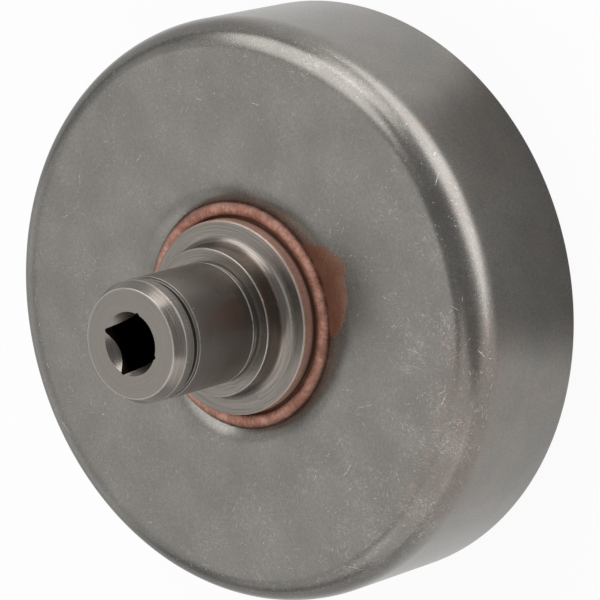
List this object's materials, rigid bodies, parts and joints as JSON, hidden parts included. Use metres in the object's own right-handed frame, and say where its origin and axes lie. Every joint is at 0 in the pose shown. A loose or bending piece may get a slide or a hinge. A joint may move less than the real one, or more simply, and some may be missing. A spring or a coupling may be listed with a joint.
{
  "type": "clutch drum",
  "caption": "Centrifugal clutch drum: a pressed steel cup with a brazed-in stub shaft, bearing seat, retaining ring groove and square drive socket",
  "frame": {"origin": "On the drum's axis, in the plane of its open rim, which it stands on", "axes": "+Z along the shaft from the open rim to the shaft's end; +X and +Y square to the flats of the drive socket"},
  "size_m": [0.082, 0.082, 0.045],
  "materials": {
    "drum_steel": "dull drawn steel with small handling nicks",
    "shaft_steel": "turned and ground, satin",
    "braze_copper": "copper braze, finely ribbed, dull"
  },
  "bodies": {
    "root": {"drum_cup": "drum_steel", "hub_shaft": "shaft_steel", "braze_ring": "braze_copper"}
  },
  "joints": []
}
